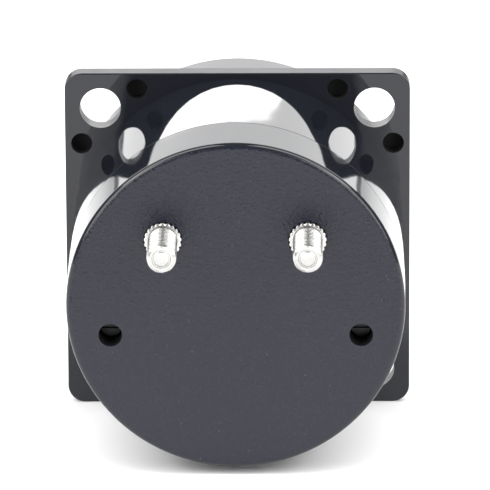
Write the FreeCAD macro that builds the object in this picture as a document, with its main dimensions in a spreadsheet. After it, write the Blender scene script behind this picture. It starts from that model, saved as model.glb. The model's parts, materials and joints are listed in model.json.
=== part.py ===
import FreeCAD, Part
import itertools
import math
import os

import Sketcher
from FreeCAD import Placement, Rotation, Vector

# A round moving-coil ammeter with a square mounting flange and two terminal studs.
#
# Frame: millimetres, +Z up. The barrel's axis is the Y axis. The dial faces +Y and the studs
# point to -Y. The origin is on the axis, in the flange's front face, which bears on the back
# of the instrument panel. The pointer turns about its own axis, parallel to Y and below the
# barrel's axis; the pieces of the movement are drawn about that axis and placed on it.

doc = FreeCAD.newDocument("panel_ammeter")
sheet = doc.addObject("Spreadsheet::Sheet", "dims")
sheet_rows = itertools.count(1)
pieces = []


# ---------------------------------------------------------------- sizes and the sheet

class Size:
    """A number kept together with the sheet expression that gives it."""

    def __init__(self, value, text):
        self.value = value
        self.text = text

    def __add__(self, other):
        other = as_size(other)
        return Size(self.value + other.value, f"({self.text} + {other.text})")

    def __sub__(self, other):
        other = as_size(other)
        return Size(self.value - other.value, f"({self.text} - {other.text})")

    def __mul__(self, other):
        other = as_size(other)
        return Size(self.value * other.value, f"({self.text} * {other.text})")

    def __truediv__(self, other):
        other = as_size(other)
        return Size(self.value / other.value, f"({self.text} / {other.text})")

    def __neg__(self):
        return Size(-self.value, f"(-{self.text})")

    __radd__ = __add__
    __rmul__ = __mul__


def as_size(number):
    if isinstance(number, Size):
        return number
    return Size(float(number), f"({number:.9f})")


def driving(alias, value, meaning):
    """Put one driving dimension in the sheet and return it as a Size."""
    row = next(sheet_rows)
    sheet.set(f"A{row}", meaning)
    sheet.set(f"B{row}", str(value))
    sheet.setAlias(f"B{row}", alias)
    return Size(value, f"dims.{alias}")


# Case: flange, barrel, front collar.
flange_side = driving("flange_side", 60.0, "side of the square flange")
flange_thickness = driving("flange_thickness", 3.6, "thickness of the flange")
flange_corner = driving("flange_corner", 3.0, "corner radius of the flange")
flange_rounding = driving("flange_rounding", 0.2, "rounding of the flange's outline edges")
flange_hole_offset = driving("flange_hole_offset", 23.8, "flange hole from the axis, each way")
flange_hole_radius = driving("flange_hole_radius", 3.55, "radius of the four flange holes")
core_hole_far = driving("core_hole_far", 27.1, "blind hole from the axis, the long way")
core_hole_near = driving("core_hole_near", 17.4, "blind hole from the axis, the short way")
core_hole_radius = driving("core_hole_radius", 1.85, "radius of the flange's blind holes")
core_hole_depth = driving("core_hole_depth", 2.6, "depth of the flange's blind holes")
barrel_radius = driving("barrel_radius", 28.95, "barrel radius at the flange")
barrel_draft = driving("barrel_draft", 0.15, "barrel radius lost by the seam")
barrel_length = driving("barrel_length", 26.8, "flange to the seam of the rear cover")
seam_chamfer = driving("seam_chamfer", 0.1, "chamfer either side of the seam")
bore_radius = driving("bore_radius", 26.0, "bore of the barrel")
ledge_radius = driving("ledge_radius", 21.5, "inner radius of the ledge in the bore")
ledge_depth = driving("ledge_depth", 3.4, "thickness of the ledge in the bore")
dial_seat = driving("dial_seat", 0.4, "front of the ledge, where the dial rests")
collar_radius = driving("collar_radius", 27.3, "front collar that carries the bezel")
collar_bore = driving("collar_bore", 25.6, "bore of the front collar")
collar_length = driving("collar_length", 6.0, "front collar beyond the flange")
ledge_screw_circle = driving("ledge_screw_circle", 23.4, "screws in the ledge, from the axis")
boss_radius = driving("boss_radius", 2.7, "bosses in the barrel for the cover screws")
boss_length = driving("boss_length", 12.0, "those bosses, ahead of the seam")
boss_hole_depth = driving("boss_hole_depth", 9.5, "depth of the screw holes in them")
web_half = driving("web_half", 1.2, "half thickness of the webs that join them to the barrel")
ledge_boss_radius = driving("ledge_boss_radius", 2.4, "bosses behind the ledge for the dial screws")
ledge_boss_length = driving("ledge_boss_length", 3.5, "those bosses, behind the ledge")
dial_hole_depth = driving("dial_hole_depth", 5.4, "depth of the dial's screw holes")
frame_hole_depth = driving("frame_hole_depth", 2.9, "depth of the frame's screw holes")
frame_screw_x = driving("frame_screw_x", 11.0, "frame screws either side of the axis")
frame_screw_z = driving("frame_screw_z", 20.65, "frame screws above and below the axis")
relief_inner = driving("relief_inner", 28.7, "relief groove under the bezel's edge, inside")
relief_outer = driving("relief_outer", 29.5, "relief groove under the bezel's edge, outside")
relief_depth = driving("relief_depth", 0.3, "depth of the relief groove")

# Front: bezel, gasket, window. The bezel snaps over the collar, its bead in the collar's groove.
bezel_radius = driving("bezel_radius", 29.3, "outer radius of the bezel")
bezel_length = driving("bezel_length", 9.6, "bezel in front of the flange")
bezel_rounding = driving("bezel_rounding", 0.8, "rounding of the bezel's front edge")
bezel_bevel = driving("bezel_bevel", 0.6, "bevel round the view through the bezel")
snap_rear = driving("snap_rear", 3.0, "rear end of the snap groove in the collar")
snap_width = driving("snap_width", 1.4, "width of the snap groove at the surface")
snap_depth = driving("snap_depth", 0.5, "depth of the snap groove")
bezel_opening = driving("bezel_opening", 24.2, "radius of the view through the bezel")
gasket_thickness = driving("gasket_thickness", 0.7, "thickness of the window gasket")
window_radius = driving("window_radius", 26.3, "radius of the window")
window_thickness = driving("window_thickness", 1.5, "thickness of the window")

# Rear cover and its screws.
cover_length = driving("cover_length", 12.6, "seam to the rear face")
cover_radius = driving("cover_radius", 28.65, "rear cover radius at the rear face")
cover_bore = driving("cover_bore", 24.4, "bore of the rear cover")
cover_wall = driving("cover_wall", 3.0, "thickness of the rear wall")
cover_rounding = driving("cover_rounding", 1.0, "rounding of the rear edge")
spigot_length = driving("spigot_length", 2.0, "cover's spigot inside the barrel")
spigot_play = driving("spigot_play", 0.1, "gap round the spigot")
cover_boss_radius = driving("cover_boss_radius", 3.2, "cover's bosses round its screws")
cover_screw_play = driving("cover_screw_play", 0.15, "gap round the screws through the cover")
cover_screw_x = driving("cover_screw_x", 21.2, "cover screws either side of the axis")
cover_screw_z = driving("cover_screw_z", -4.9, "height of the cover screws")
cover_screw_hole = driving("cover_screw_hole", 2.0, "radius of the holes for the screw heads")
cover_screw_recess = driving("cover_screw_recess", 6.0, "depth of those holes")

# Terminals.
stud_x = driving("stud_x", 12.2, "terminal studs either side of the axis")
stud_z = driving("stud_z", 11.8, "height of the terminal studs")
stud_radius = driving("stud_radius", 2.5, "radius of the terminal studs, M5")
stud_reach = driving("stud_reach", 10.7, "studs beyond the rear face")
knurl_radius = driving("knurl_radius", 3.25, "knurled collar of the studs")
knurl_teeth = 21
knurl_proud = driving("knurl_proud", 0.5, "knurled collar beyond the rear face")
block_thickness = driving("block_thickness", 1.6, "thickness of the shunt blocks")
sheet_metal = driving("sheet_metal", 0.3, "thickness of the lead straps")
eyelet_radius = driving("eyelet_radius", 4.2, "lead eyelets and lock washers, outer radius")
foot_drop = driving("foot_drop", 9.0, "shunt blocks below the studs")
foot_height = driving("foot_height", 4.0, "height of the shunt strip")
block_half_width = driving("block_half_width", 4.5, "half width of the shunt blocks")
lock_washer_thickness = driving("lock_washer_thickness", 0.9, "thickness of the lock washers")
nut_thickness = driving("nut_thickness", 2.7, "thickness of the terminal nuts")

# Movement.
pivot_height = driving("pivot_height", -8.0, "height of the pointer's axis")
rest_angle = driving("rest_angle", 45.0, "pointer at zero, from upright, degrees")
dial_radius = driving("dial_radius", 25.4, "radius of the dial")
dial_thickness = driving("dial_thickness", 0.8, "thickness of the dial")
frame_thickness = driving("frame_thickness", 1.5, "thickness of the frame plate")
frame_width = driving("frame_width", 32.0, "width of the frame plate")
yoke_radius = driving("yoke_radius", 12.0, "outer radius of the yoke ring")
yoke_bore = driving("yoke_bore", 7.4, "bore of the yoke ring")
yoke_length = driving("yoke_length", 8.9, "length of the yoke ring")
core_radius = driving("core_radius", 5.6, "radius of the magnet core")
core_length = driving("core_length", 7.6, "length of the magnet core")
former_inside = driving("former_inside", 5.85, "coil former, inner half width")
former_thickness = driving("former_thickness", 0.3, "thickness of the coil former")
former_half_depth = driving("former_half_depth", 1.5, "coil former, half its depth")
winding_thickness = driving("winding_thickness", 0.85, "thickness of the coil winding")
bridge_post_x = driving("bridge_post_x", 9.7, "bridge screws either side of the pivot")
bridge_half_depth = driving("bridge_half_depth", 2.2, "bridges, half their depth")
spindle_radius = driving("spindle_radius", 0.4, "radius of the pivot spindles")
tip_radius = driving("tip_radius", 0.25, "radius of the pivot tips")
jewel_hole = driving("jewel_hole", 0.3, "radius of the bearing holes")
jewel_radius = driving("jewel_radius", 1.5, "radius of the jewel screws")
stop_circle = driving("stop_circle", 14.0, "stop pins, from the pointer's axis")
stop_past_scale = 4.7
pointer_thickness = driving("pointer_thickness", 0.3, "thickness of the pointer")
pointer_length = driving("pointer_length", 24.0, "pivot to the pointer's tip")
spring_radius = driving("spring_radius", 4.0, "outer radius of the hairsprings")
collet_radius = driving("collet_radius", 0.8, "radius of the hairspring collets")
adjuster_drop = driving("adjuster_drop", 12.0, "zero adjuster below the pointer's axis")
adjuster_throw = driving("adjuster_throw", 1.2, "eccentric pin from the adjuster's axis")
adjuster_radius = driving("adjuster_radius", 2.4, "shank of the zero adjuster")

# Small screws: M2 for the case and frame, M1.6 for the movement.
m2_radius = driving("m2_radius", 0.95, "shank of the M2 screws")
m2_head = driving("m2_head", 1.9, "head radius of the M2 screws")
m16_radius = driving("m16_radius", 0.75, "shank of the M1.6 screws")
m16_head = driving("m16_head", 1.5, "head radius of the M1.6 screws")
thread_play = driving("thread_play", 0.05, "gap between a screw and its hole")
edge_break = driving("edge_break", 0.2, "small chamfers on turned pieces")

# Stations along the barrel, worked out from the sizes above.
flange_rear = -flange_thickness
seam = flange_rear - barrel_length
rear_face = seam - cover_length
cover_inside = rear_face + cover_wall
stud_tip = rear_face - stud_reach
stud_shoulder = cover_inside + 0.8
block_front = stud_shoulder + block_thickness
eyelet_front = block_front + sheet_metal
nut_rear = eyelet_front + lock_washer_thickness
nut_front = nut_rear + nut_thickness
frame_front = dial_seat - ledge_depth
frame_rear = frame_front - frame_thickness
yoke_rear = frame_rear - yoke_length
core_front = frame_rear - 0.7
core_rear = core_front - core_length
former_front = core_front + 0.8
former_rear = core_rear - 0.8
winding_front = former_front + winding_thickness
winding_rear = former_rear - winding_thickness
dial_front = dial_seat + dial_thickness
pointer_front = dial_front + 1.3
pointer_rear = pointer_front - pointer_thickness
front_spring = pointer_front + 0.5
front_bridge_rear = dial_front + 2.5
front_bridge_front = front_bridge_rear + 0.9
lever_rear = front_bridge_front + 0.2
lever_front = lever_rear + 0.4
rear_bridge_front = winding_rear - 2.85
rear_bridge_rear = rear_bridge_front - 1.5
window_rear = collar_length + gasket_thickness
window_front = window_rear + window_thickness
rear_spring = winding_rear - 1.1
spring_height = as_size(0.3)
insulator_thickness = as_size(0.4)
adjuster_height = pivot_height - adjuster_drop


# ---------------------------------------------------------------- drawing helpers

def new_body(label, on_pivot=False, turned=False):
    """A body named as its file; on_pivot places it on the pointer's axis, turned to rest."""
    body = doc.addObject("PartDesign::Body", label)
    body.Label = label
    pieces.append(body)
    if turned:
        body.Placement = Placement(Vector(), Rotation(Vector(0, 1, 0), rest_angle.value))
        body.setExpression(".Placement.Rotation.Angle", rest_angle.text)
    if on_pivot:
        body.setExpression(".Placement.Base.z", pivot_height.text)
    return body


def sketch_on(body, role, offset):
    """A sketch on one of the body's own planes, moved by offset in that plane's axes."""
    sketch = body.newObject("Sketcher::SketchObject", f"{body.Label}_sketch")
    plane = next(item for item in body.Origin.OriginFeatures if item.Role == role)
    sketch.AttachmentSupport = [(plane, "")]
    sketch.MapMode = "FlatFace"
    for axis, size in zip("xyz", offset):
        sketch.setExpression(f".AttachmentOffset.Base.{axis}", as_size(size).text)
    return sketch


def face_sketch(body, y, x=0, z=0):
    """A sketch square to the barrel's axis at station y: its axes are X and Z."""
    return sketch_on(body, "XZ_Plane", (x, z, -as_size(y)))


def side_sketch(body, z, x=0):
    """A sketch along the barrel's axis at height z: its axes are X and Y."""
    return sketch_on(body, "XY_Plane", (x, 0, z))


def constrain(sketch, kind, where, size):
    index = sketch.addConstraint(Sketcher.Constraint(kind, *where, size.value))
    sketch.setExpression(f"Constraints[{index}]", size.text)


def place_point(sketch, element, end, x, y):
    """Tie one end of a sketch element to the sketch's origin."""
    constrain(sketch, "DistanceX", (-1, 1, element, end), as_size(x))
    constrain(sketch, "DistanceY", (-1, 1, element, end), as_size(y))


def draw_circle(sketch, x, y, radius):
    x, y, radius = as_size(x), as_size(y), as_size(radius)
    shape = Part.Circle(Vector(x.value, y.value, 0), Vector(0, 0, 1), radius.value)
    element = sketch.addGeometry(shape, False)
    constrain(sketch, "Radius", (element,), radius)
    place_point(sketch, element, 3, x, y)


def draw_outline(sketch, points):
    """A closed outline of straight lines through the points."""
    first = sketch.GeometryCount
    corners = [Vector(as_size(x).value, as_size(y).value, 0) for x, y in points]
    for start, end in zip(corners, corners[1:] + corners[:1]):
        sketch.addGeometry(Part.LineSegment(start, end), False)
    for i, (x, y) in enumerate(points):
        after = first + (i + 1) % len(points)
        sketch.addConstraint(Sketcher.Constraint("Coincident", first + i, 2, after, 1))
        place_point(sketch, first + i, 1, x, y)


def draw_box(sketch, low_x, high_x, low_y, high_y):
    draw_outline(sketch, [(low_x, low_y), (high_x, low_y), (high_x, high_y), (low_x, high_y)])


def set_tip(body, feature):
    body.Tip = feature
    doc.recompute()
    return feature


def pad(body, sketch, length):
    """Grow the sketch along its normal: towards -Y for a face sketch, +Z for a side one."""
    feature = body.newObject("PartDesign::Pad", f"{body.Label}_pad")
    feature.Profile = sketch
    feature.setExpression("Length", as_size(length).text)
    return set_tip(body, feature)


def revolve(body, sketch):
    """Turn the sketch a full circle about its own upright axis, parallel to the barrel."""
    feature = body.newObject("PartDesign::Revolution", f"{body.Label}_turned")
    feature.Profile = sketch
    feature.ReferenceAxis = (sketch, ["V_Axis"])
    feature.Angle = 360
    return set_tip(body, feature)


def pocket(body, sketch, length):
    """Cut the sketch along its normal, the same way as pad, and check that it cut."""
    before = body.Shape.Volume
    feature = body.newObject("PartDesign::Pocket", f"{body.Label}_pocket")
    feature.Profile = sketch
    feature.Reversed = True
    feature.setExpression("Length", as_size(length).text)
    set_tip(body, feature)
    if body.Shape.Volume > before - 1e-4:
        raise RuntimeError(f"a pocket in {body.Label} cut nothing")
    return feature


def fillet(body, radius, test):
    """Round the edges of the body so far that pass the test."""
    base = body.Tip
    names = [f"Edge{i}" for i, edge in enumerate(base.Shape.Edges, 1) if test(edge)]
    feature = body.newObject("PartDesign::Fillet", f"{body.Label}_fillet")
    feature.Base = (base, names)
    feature.setExpression("Radius", as_size(radius).text)
    return set_tip(body, feature)


def round_edge(y, radius):
    """A test for round edges about the barrel's axis, by station and radius."""
    def test(edge):
        curve = edge.Curve
        return (
            isinstance(curve, Part.Circle)
            and abs(curve.Radius - radius.value) < 0.02
            and abs(curve.Center.y - y.value) < 0.02
        )
    return test


def add_discs(body, places, y_front, length, radius):
    sketch = face_sketch(body, y_front)
    for x, z in places:
        draw_circle(sketch, x, z, radius)
    return pad(body, sketch, length)


def cut_discs(body, places, y_front, length, radius):
    sketch = face_sketch(body, y_front)
    for x, z in places:
        draw_circle(sketch, x, z, radius)
    return pocket(body, sketch, length)


def add_plate(body, y_front, thickness, points):
    sketch = face_sketch(body, y_front)
    draw_outline(sketch, points)
    return pad(body, sketch, thickness)


def turn(body, profile, x=0, z=0):
    """Turn a profile of (radius, station) points about the axis through x, z."""
    sketch = side_sketch(body, z, x)
    draw_outline(sketch, profile)
    return revolve(body, sketch)


def either_side(x, z):
    return [(x, z), (-x, z)]


def in_order(first, second):
    return (first, second) if first.value < second.value else (second, first)


def add_screw(body, place, seat, towards, shank, head, size):
    """A cheese-head screw: seat is the head's underside and towards the way the head points.

    shank and head are lengths, and size is "m2" or "m16". A slot is cut across the head."""
    radius, head_radius = {"m2": (m2_radius, m2_head), "m16": (m16_radius, m16_head)}[size]
    tip = seat - towards * shank
    top = seat + towards * head
    profile = [
        (0, tip),
        (radius - edge_break, tip),
        (radius, tip + towards * edge_break),
        (radius, seat),
        (head_radius, seat),
        (head_radius, top - towards * edge_break),
        (head_radius - edge_break, top),
        (0, top),
    ]
    x, z = place
    turn(body, profile, x, z)
    slot_depth = head * 0.45
    slot_front = top if towards > 0 else top + slot_depth
    half_width = head_radius * 0.16
    sketch = face_sketch(body, slot_front, x, z)
    draw_box(sketch, -head_radius * 1.2, head_radius * 1.2, -half_width, half_width)
    pocket(body, sketch, slot_depth)


# ---------------------------------------------------------------- case

ledge_angle = math.radians(-30)
dial_screw_places = either_side(
    ledge_screw_circle * math.cos(ledge_angle), ledge_screw_circle * math.sin(ledge_angle)
)
frame_screw_places = [
    (sx * frame_screw_x, sz * frame_screw_z) for sx in (-1, 1) for sz in (-1, 1)
]
cover_screw_places = either_side(cover_screw_x, cover_screw_z)
stud_places = either_side(stud_x, stud_z)


def make_case_body():
    body = new_body("case_body")
    seam_radius = barrel_radius - barrel_draft
    groove_bottom = collar_radius - snap_depth
    turn(body, [
        (collar_bore, collar_length),
        (collar_radius, collar_length),
        (collar_radius, snap_rear + snap_width),
        (groove_bottom, snap_rear + snap_width - edge_break),
        (groove_bottom, snap_rear + edge_break),
        (collar_radius, snap_rear),
        (collar_radius, flange_rear / 2),
        (barrel_radius, flange_rear / 2),
        (seam_radius, seam + seam_chamfer),
        (seam_radius - seam_chamfer, seam),
        (bore_radius, seam),
        (bore_radius, frame_front),
        (ledge_radius, frame_front),
        (ledge_radius, dial_seat),
        (collar_bore, dial_seat),
    ])

    half = flange_side / 2
    sketch = face_sketch(body, 0)
    draw_box(sketch, -half, half, -half, half)
    draw_circle(sketch, 0, 0, collar_radius - 1.0)
    pad(body, sketch, flange_thickness)
    fillet(body, flange_corner, is_flange_corner)
    fillet(body, flange_rounding, is_flange_rim)

    signs = (-1, 1)
    corners = [(sx * flange_hole_offset, sz * flange_hole_offset) for sx in signs for sz in signs]
    cut_discs(body, corners, 0.5, flange_thickness + 1.0, flange_hole_radius)
    blind = [(sx * core_hole_near, sz * core_hole_far) for sx in signs for sz in signs]
    blind += [(sx * core_hole_far, sz * core_hole_near) for sx in signs for sz in signs]
    cut_discs(body, blind, flange_rear + core_hole_depth, core_hole_depth, core_hole_radius)

    # A relief round the bezel's edge, so that the panel bears on the flange alone.
    sketch = face_sketch(body, 0)
    draw_circle(sketch, 0, 0, relief_outer)
    draw_circle(sketch, 0, 0, relief_inner)
    pocket(body, sketch, relief_depth)

    # Screw bosses: two short ones behind the ledge, two long ones with webs for the cover.
    overlap = 0.5
    add_discs(body, dial_screw_places, frame_front + overlap, ledge_boss_length + overlap,
              ledge_boss_radius)
    boss_front = seam + boss_length
    add_discs(body, cover_screw_places, boss_front, boss_length, boss_radius)
    for side in signs:
        low, high = in_order(side * (cover_screw_x + 1.0), side * (bore_radius + overlap))
        sketch = face_sketch(body, boss_front)
        draw_box(sketch, low, high, cover_screw_z - web_half, cover_screw_z + web_half)
        pad(body, sketch, boss_length)

    hole = m2_radius + thread_play
    cut_discs(body, dial_screw_places, dial_seat, dial_hole_depth, hole)
    cut_discs(body, frame_screw_places, frame_front + frame_hole_depth, frame_hole_depth, hole)
    cut_discs(body, cover_screw_places, seam + boss_hole_depth, boss_hole_depth, hole)


def is_flange_corner(edge):
    half = flange_side.value / 2
    ends = [vertex.Point for vertex in edge.Vertexes]
    on_corner = all(abs(abs(p.x) - half) + abs(abs(p.z) - half) < 0.01 for p in ends)
    return len(ends) == 2 and on_corner and abs(ends[0].y - ends[1].y) > 1.0


def is_flange_rim(edge):
    """Edges of the flange's outline, straight or round, on its front and rear faces."""
    box = edge.BoundBox
    reach = max(abs(box.XMin), abs(box.XMax), abs(box.ZMin), abs(box.ZMax))
    return reach > flange_side.value / 2 - 0.01 and box.YLength < 0.01


def make_rear_cover():
    body = new_body("rear_cover")
    seam_radius = cover_radius + barrel_draft
    turn(body, [
        (0, rear_face),
        (cover_radius, rear_face),
        (seam_radius, seam - seam_chamfer),
        (seam_radius - seam_chamfer, seam),
        (bore_radius - spigot_play, seam),
        (bore_radius - spigot_play, seam + spigot_length),
        (cover_bore, seam + spigot_length),
        (cover_bore, cover_inside),
        (0, cover_inside),
    ])
    fillet(body, cover_rounding, round_edge(rear_face, cover_radius))
    boss_length_inside = seam - cover_inside + 1.0
    add_discs(body, cover_screw_places, seam, boss_length_inside, cover_boss_radius)
    hole = m2_radius + cover_screw_play
    cut_discs(body, cover_screw_places, seam + 1.0, cover_length + 2.0, hole)
    recess_floor = rear_face + cover_screw_recess
    cut_discs(body, cover_screw_places, recess_floor, cover_screw_recess, cover_screw_hole)
    cut_discs(body, stud_places, cover_inside, cover_wall, knurl_radius + thread_play)

    # Gaps in the spigot for the barrel's two bosses and their webs.
    for side in (-1, 1):
        low, high = in_order(side * (cover_screw_x - 0.5), side * (bore_radius + 1.0))
        sketch = face_sketch(body, seam + spigot_length)
        draw_box(sketch, low, high, cover_screw_z - cover_boss_radius,
                 cover_screw_z + cover_boss_radius)
        pocket(body, sketch, spigot_length)


def make_bezel_ring():
    body = new_body("bezel_ring")
    play = 0.1
    inside = collar_radius + play
    bead = collar_radius - snap_depth + play
    bead_middle = snap_rear + snap_width / 2
    turn(body, [
        (inside, 0),
        (bezel_radius, 0),
        (bezel_radius, bezel_length),
        (bezel_opening + bezel_bevel, bezel_length),
        (bezel_opening, bezel_length - bezel_bevel),
        (bezel_opening, window_front),
        (window_radius + play * 2, window_front),
        (window_radius + play * 2, collar_length + play * 2),
        (inside, collar_length + play * 2),
        (inside, bead_middle + 0.5),
        (bead, bead_middle + 0.2),
        (bead, bead_middle - 0.2),
        (inside, bead_middle - 0.5),
    ])
    fillet(body, bezel_rounding, round_edge(bezel_length, bezel_radius))


def make_window():
    gasket = new_body("window_gasket")
    turn(gasket, [
        (bezel_opening + 0.2, collar_length),
        (window_radius + 0.1, collar_length),
        (window_radius + 0.1, window_rear),
        (bezel_opening + 0.2, window_rear),
    ])
    window = new_body("window")
    add_discs(window, [(0, 0)], window_front, window_thickness, window_radius)
    hole = [(0, adjuster_height)]
    cut_discs(window, hole, window_front, window_thickness, adjuster_radius + thread_play)


def make_cover_screws():
    body = new_body("cover_screws")
    seat = rear_face + cover_screw_recess
    shank = seam + 9.0 - seat
    for place in cover_screw_places:
        add_screw(body, place, seat, -1, shank, as_size(1.3), "m2")


# ---------------------------------------------------------------- terminals and shunt

def make_stud(label, x):
    body = new_body(label)
    chamfer = as_size(0.45)
    turn(body, [
        (0, stud_tip),
        (stud_radius - chamfer, stud_tip),
        (stud_radius, stud_tip + chamfer),
        (stud_radius, rear_face - knurl_proud),
        (knurl_radius - 0.25, rear_face - knurl_proud),
        (knurl_radius, rear_face - knurl_proud + 0.25),
        (knurl_radius, cover_inside),
        (knurl_radius + 1.2, cover_inside),
        (knurl_radius + 1.2, stud_shoulder),
        (stud_radius, stud_shoulder),
        (stud_radius, nut_front + 0.2),
        (stud_radius - 0.3, nut_front + 0.5),
        (0, nut_front + 0.5),
    ], x, stud_z)

    # One V groove of the knurl, repeated round the collar.
    half_angle = math.pi / knurl_teeth * 0.75
    reach = knurl_radius + 0.3
    sketch = face_sketch(body, cover_inside, x, stud_z)
    draw_outline(sketch, [
        (0, knurl_radius - 0.3),
        (reach * math.sin(half_angle), reach * math.cos(half_angle)),
        (-reach * math.sin(half_angle), reach * math.cos(half_angle)),
    ])
    groove = pocket(body, sketch, cover_wall + knurl_proud)
    ring = body.newObject("PartDesign::PolarPattern", f"{label}_knurl")
    ring.Originals = [groove]
    ring.Axis = (sketch, ["N_Axis"])
    ring.Angle = 360
    ring.Occurrences = knurl_teeth
    set_tip(body, ring)


def make_stud_nuts():
    body = new_body("stud_nuts")
    corner = as_size(4.0 / math.cos(math.pi / 6))
    for x, z in stud_places:
        sketch = face_sketch(body, nut_front, x, z)
        turns = [math.radians(30 + 60 * i) for i in range(6)]
        draw_outline(sketch, [(corner * math.cos(a), corner * math.sin(a)) for a in turns])
        draw_circle(sketch, 0, 0, stud_radius + thread_play)
        pad(body, sketch, nut_thickness)


def make_lock_washers():
    body = new_body("stud_lock_washers")
    for x, z in stud_places:
        sketch = face_sketch(body, nut_rear, x, z)
        draw_circle(sketch, 0, 0, eyelet_radius)
        draw_circle(sketch, 0, 0, stud_radius + thread_play)
        pad(body, sketch, lock_washer_thickness)


foot_low = stud_z - foot_drop
foot_high = foot_low + foot_height


def make_shunt():
    blocks = new_body("shunt_blocks")
    for x, z in stud_places:
        sketch = face_sketch(blocks, block_front, x, z)
        draw_box(sketch, -block_half_width, block_half_width, -foot_drop, block_half_width + 0.5)
        draw_circle(sketch, 0, 0, stud_radius + thread_play)
        pad(blocks, sketch, block_thickness)

    # The resistance strip: two feet on the blocks and an arch between them.
    strip = new_body("shunt_strip")
    thick = as_size(0.6)
    foot = block_front
    top = block_front + 6.0
    right = [(stud_x + 4.0, foot), (stud_x - 4.2, foot), (5.2, top)]
    right_back = [(5.5, top + thick), (stud_x - 3.8, foot + thick), (stud_x + 4.0, foot + thick)]
    left = [(-x, y) for x, y in reversed(right)]
    left_back = [(-x, y) for x, y in reversed(right_back)]
    sketch = side_sketch(strip, foot_low)
    draw_outline(sketch, right + left + left_back + right_back)
    pad(strip, sketch, foot_height)


lead_x = stud_x + 6.1
lead_low = stud_z - 1.5
lead_high = stud_z + 1.5


def make_lead(label, side, end_front):
    """A bent strap from a terminal to the rear bridge's screw on the same side."""
    body = new_body(label)
    sketch = face_sketch(body, eyelet_front, side * stud_x, stud_z)
    draw_circle(sketch, 0, 0, eyelet_radius)
    draw_circle(sketch, 0, 0, stud_radius + thread_play)
    pad(body, sketch, sheet_metal)
    outer = lead_x + sheet_metal
    add_plate(body, eyelet_front, sheet_metal, [
        (side * (stud_x + 3.5), lead_low),
        (side * outer, lead_low),
        (side * outer, lead_high),
        (side * (stud_x + 3.5), lead_high),
    ])
    add_plate(body, end_front, end_front - eyelet_front + sheet_metal, [
        (side * lead_x, lead_low),
        (side * outer, lead_low),
        (side * outer, lead_high),
        (side * lead_x, lead_high),
    ])
    add_plate(body, end_front, sheet_metal, [
        (side * outer, lead_high),
        (side * (outer - 1.8), lead_high),
        (side * (bridge_post_x - 1.5), pivot_height + 1.0),
        (side * (bridge_post_x - 1.5), pivot_height - 1.5),
        (side * (bridge_post_x + 1.5), pivot_height - 1.5),
        (side * (bridge_post_x + 1.5), pivot_height + 1.0),
        (side * outer, lead_low),
    ])
    return body


def make_leads():
    positive = make_lead("positive_lead", 1, rear_bridge_rear)
    positive_hole = [(bridge_post_x, pivot_height)]
    cut_discs(positive, positive_hole, rear_bridge_rear, sheet_metal, m16_radius + thread_play)

    # The negative lead is insulated from the bridge and carries the rear hairspring's tag.
    front = rear_bridge_rear - insulator_thickness
    negative = make_lead("negative_lead", -1, front)
    tag = pivot_height - spring_radius
    add_plate(negative, front, sheet_metal, [
        (-bridge_post_x + 1.0, pivot_height - 1.5),
        (-bridge_post_x - 1.0, pivot_height - 1.5),
        (-bridge_post_x - 1.0, tag - 1.5),
        (0.8, tag - 1.5),
        (0.8, tag),
        (-bridge_post_x + 1.0, tag),
    ])
    tag_front = rear_spring + 0.2
    add_plate(negative, tag_front, tag_front - front + sheet_metal, [
        (-0.8, tag - sheet_metal),
        (0.8, tag - sheet_metal),
        (0.8, tag),
        (-0.8, tag),
    ])
    cut_discs(negative, [(-bridge_post_x, pivot_height)], front, sheet_metal, 1.0)


def make_lead_insulators():
    body = new_body("lead_insulators", on_pivot=True)
    for front in (rear_bridge_rear, rear_bridge_rear - insulator_thickness - sheet_metal):
        sketch = face_sketch(body, front, -bridge_post_x, 0)
        draw_circle(sketch, 0, 0, 2.0)
        draw_circle(sketch, 0, 0, m16_radius + thread_play)
        pad(body, sketch, insulator_thickness)


# ---------------------------------------------------------------- fixed part of the movement

yoke_screw_reach = (yoke_radius + yoke_bore) / 2 * math.sqrt(0.5)
yoke_screw_places = [
    (sx * yoke_screw_reach, sz * yoke_screw_reach) for sx in (-1, 1) for sz in (-1, 1)
]
post_places = either_side(bridge_post_x, 0)


def make_dial():
    body = new_body("dial_plate")
    add_discs(body, [(0, 0)], dial_front, dial_thickness, dial_radius)
    cut_discs(body, [(0, pivot_height)], dial_front, dial_thickness, 1.9)
    cut_discs(body, either_side(bridge_post_x, pivot_height), dial_front, dial_thickness, 2.1)
    cut_discs(body, dial_screw_places, dial_front, dial_thickness, m2_radius + 0.15)

    screws = new_body("dial_screws")
    for place in dial_screw_places:
        add_screw(screws, place, dial_front, 1, as_size(5.0), as_size(1.2), "m2")

    # Two pins keep the pointer just past each end of the scale.
    stops = new_body("pointer_stops", on_pivot=True)
    stop_angle = math.radians(rest_angle.value + stop_past_scale)
    stop_places = either_side(
        stop_circle * math.sin(stop_angle), stop_circle * math.cos(stop_angle)
    )
    add_discs(stops, stop_places, dial_front + 1.7, 1.7, 0.35)


def make_frame_plate():
    body = new_body("frame_plate")
    reach = bore_radius - 0.4
    add_discs(body, [(0, 0)], frame_front, frame_thickness, reach)
    for side in (-1, 1):
        low, high = in_order(side * frame_width / 2, side * (reach + 1.0))
        sketch = face_sketch(body, frame_front)
        draw_box(sketch, low, high, -(reach + 1.0), reach + 1.0)
        pocket(body, sketch, frame_thickness)
    cut_discs(body, [(0, pivot_height)], frame_front, frame_thickness, yoke_bore + 0.6)
    screw_holes = [(x, z + pivot_height) for x, z in yoke_screw_places + post_places]
    cut_discs(body, screw_holes, frame_front, frame_thickness, m16_radius + thread_play)
    cut_discs(body, frame_screw_places, frame_front, frame_thickness, m2_radius + thread_play)

    screws = new_body("frame_screws")
    for place in frame_screw_places:
        add_screw(screws, place, frame_rear, -1, frame_thickness + 2.6, as_size(1.3), "m2")


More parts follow.
